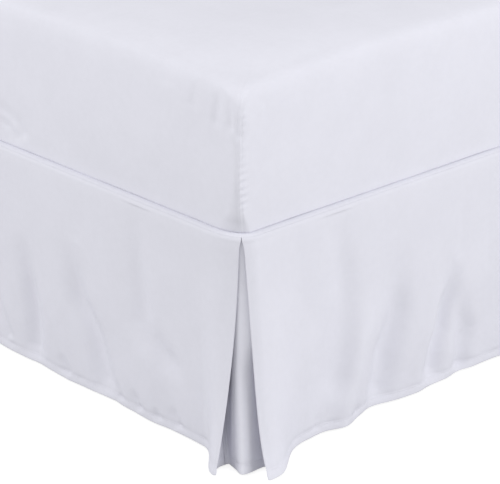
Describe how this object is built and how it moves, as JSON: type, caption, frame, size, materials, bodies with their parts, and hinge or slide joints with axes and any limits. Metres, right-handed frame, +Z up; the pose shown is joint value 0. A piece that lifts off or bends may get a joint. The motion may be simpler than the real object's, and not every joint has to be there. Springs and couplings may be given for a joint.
{
  "type": "bed skirt on a bed with mattress",
  "caption": "Tailored bed skirt with an inverted pleat at each foot corner, hanging to the floor on three sides from the deck between a bed's mattress and its base.",
  "frame": {"origin": "on the floor, in the middle of the footprint", "axes": "+X across the bed, +Y along it from the foot to the head, +Z up"},
  "size_m": [1.7188, 2.1124, 0.6723],
  "materials": {
    "skirt_cloth": "brushed white microfibre, matt",
    "mattress_cover": "smooth white fitted cover, matt",
    "base_ticking": "plain ivory ticking, matt",
    "leg_wood": "clear varnished birch, satin"
  },
  "bodies": {
    "root": {"foot_drop": "skirt_cloth", "side_drop_right": "skirt_cloth", "side_drop_left": "skirt_cloth", "corner_pleat_right": "skirt_cloth", "corner_pleat_left": "skirt_cloth", "deck": "skirt_cloth", "mattress": "mattress_cover", "bed_base": "base_ticking", "leg_1": "leg_wood", "leg_2": "leg_wood", "leg_3": "leg_wood", "leg_4": "leg_wood", "leg_5": "leg_wood", "leg_6": "leg_wood"}
  },
  "joints": []
}
